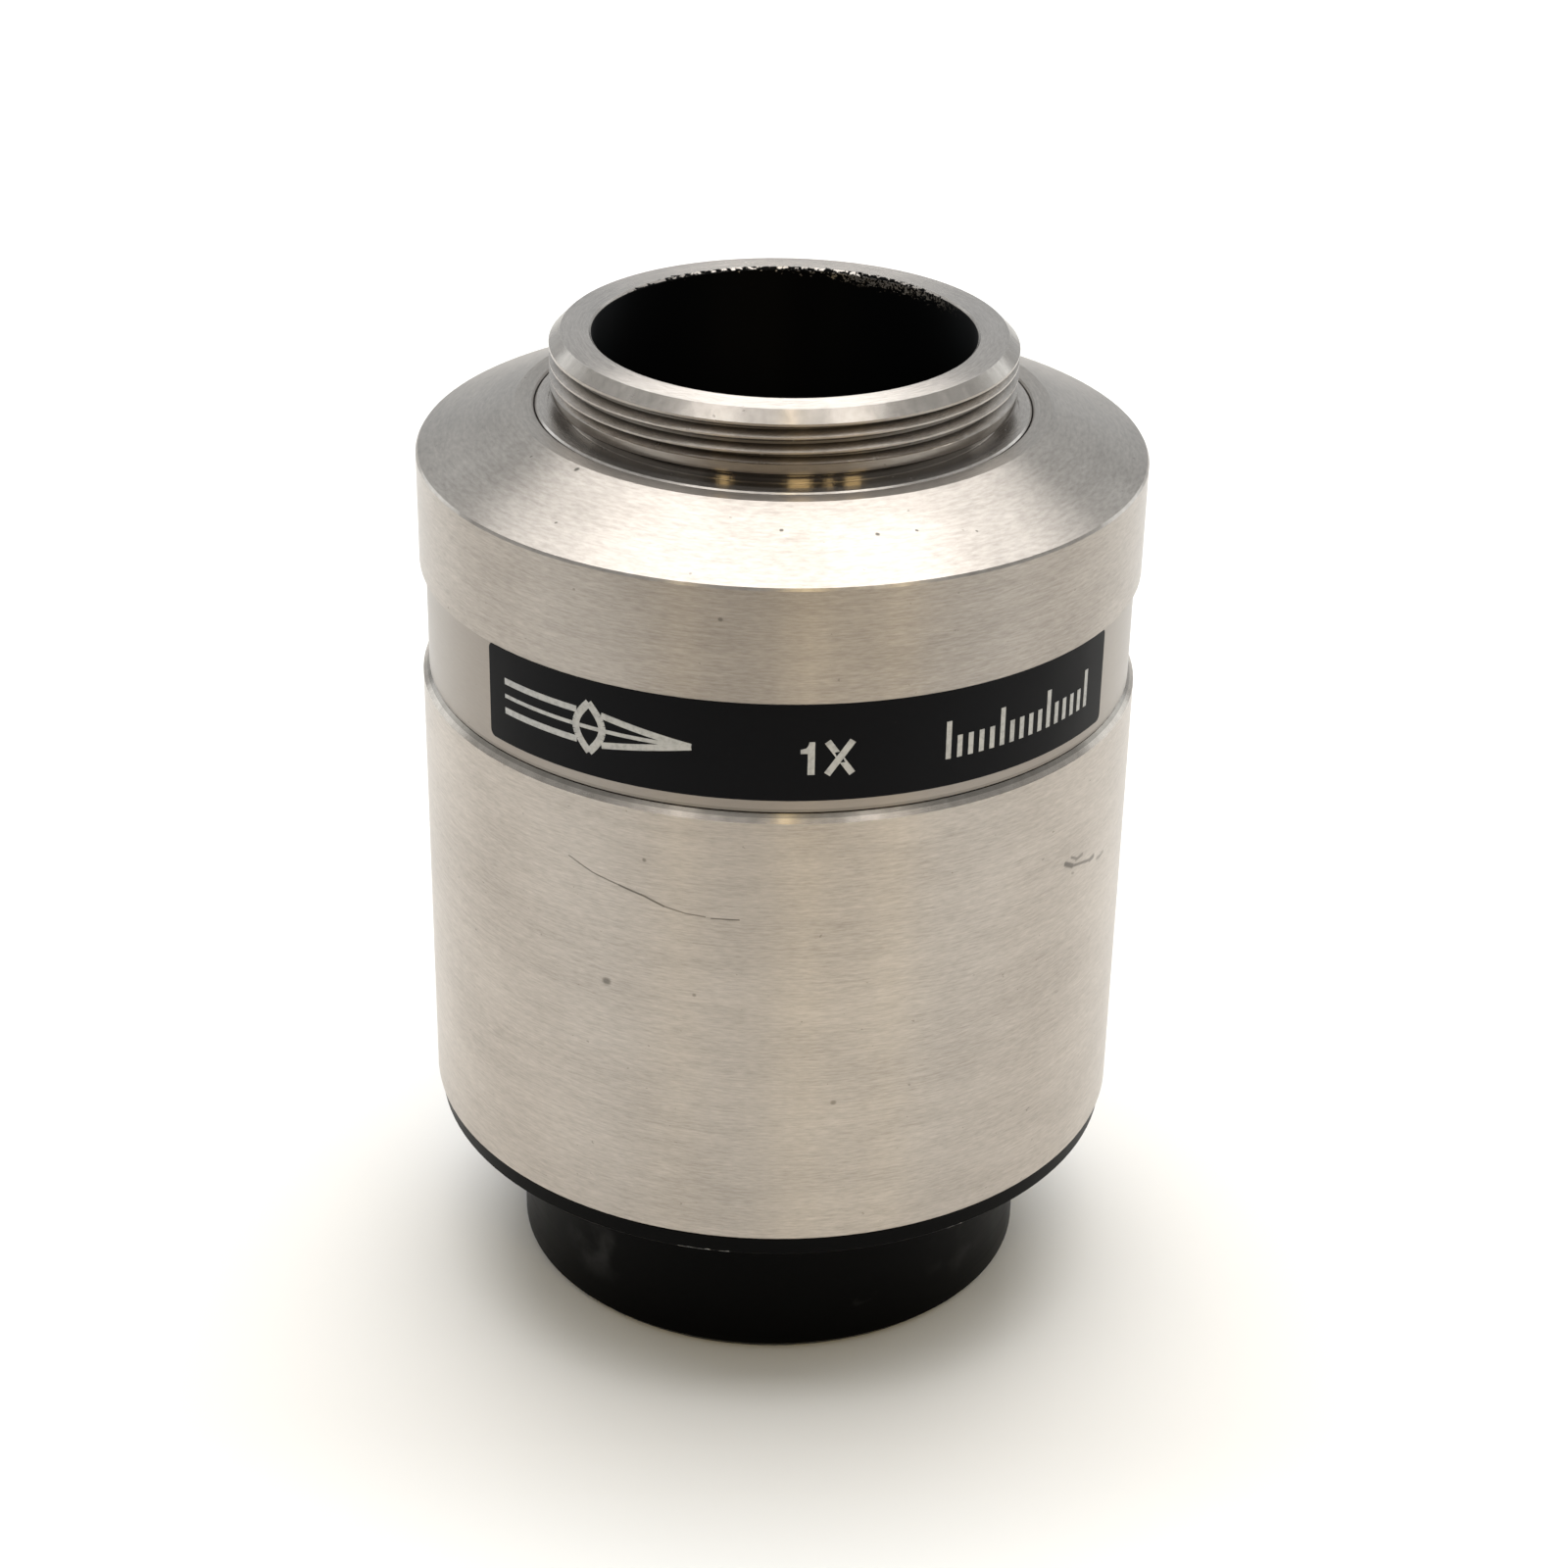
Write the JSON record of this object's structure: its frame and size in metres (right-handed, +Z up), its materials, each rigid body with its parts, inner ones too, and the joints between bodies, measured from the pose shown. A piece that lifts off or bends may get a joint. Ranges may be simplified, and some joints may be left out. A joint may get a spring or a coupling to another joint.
{
  "type": "camera coupler lens",
  "caption": "Silver metal coupler with a relay lens, a threaded camera nose on a cone shoulder that screws up to focus, and a black base with a port spigot.",
  "frame": {"origin": "centre of the lower face of the port spigot, on the optical axis", "axes": "+Z up along the optical axis towards the camera, -Y towards the middle of the front, where the label is, +X to the right seen from the front"},
  "size_m": [0.04, 0.04, 0.0568],
  "materials": {
    "satin_metal": "fine turned satin, lightly scratched",
    "nose_metal": "turned, bright on the thread crests, black inside",
    "black_anodised": "black anodised, semi-gloss",
    "matte_black": "matt black",
    "spring_steel": "plain",
    "black_steel": "black oxide",
    "soft_pad": "nylon",
    "optical_glass": "coated",
    "label": "near black with light grey print"
  },
  "bodies": {
    "body": {"upper_body": "satin_metal", "lower_barrel": "satin_metal", "base_spigot": "black_anodised", "name_label": "label", "barrel_set_screws": "black_steel", "tube_shim": "spring_steel", "lens_tube": "black_anodised", "tube_lock_ring": "black_anodised", "port_lens_concave": "optical_glass", "port_lens_meniscus": "optical_glass", "lower_spacer": "matte_black", "aperture_stop": "matte_black", "upper_spacer": "matte_black", "camera_lens_convex": "optical_glass", "camera_lens_meniscus": "optical_glass", "lens_retaining_ring": "matte_black"},
    "clip": {"nose_clip": "spring_steel"},
    "nose": {"camera_nose": "nose_metal"},
    "pad": {"lock_pad": "soft_pad"},
    "screw": {"lock_screw": "black_steel"}
  },
  "joints": [
    {"name": "nose_travel", "type": "slide", "parent": "body", "child": "clip", "axis": [0, 0, 1], "range_m": [0, 0.0015]},
    {"name": "nose_turn", "type": "hinge", "parent": "clip", "child": "nose", "pos_m": [0, 0, 0.045], "axis": [0, 0, 1], "range_deg": [0, 720]},
    {"name": "lock_travel", "type": "slide", "parent": "body", "child": "pad", "axis": [0, 1, 0], "range_m": [0, 0.001]},
    {"name": "lock_turn", "type": "hinge", "parent": "pad", "child": "screw", "pos_m": [0, 0.0165, 0.0472], "axis": [0, 1, 0], "range_deg": [0, 720]}
  ],
  "couplings": [
    {"joint": "nose_turn", "follows": "nose_travel", "rad_per_m": 8377.6},
    {"joint": "lock_turn", "follows": "lock_travel", "rad_per_m": 12566}
  ]
}
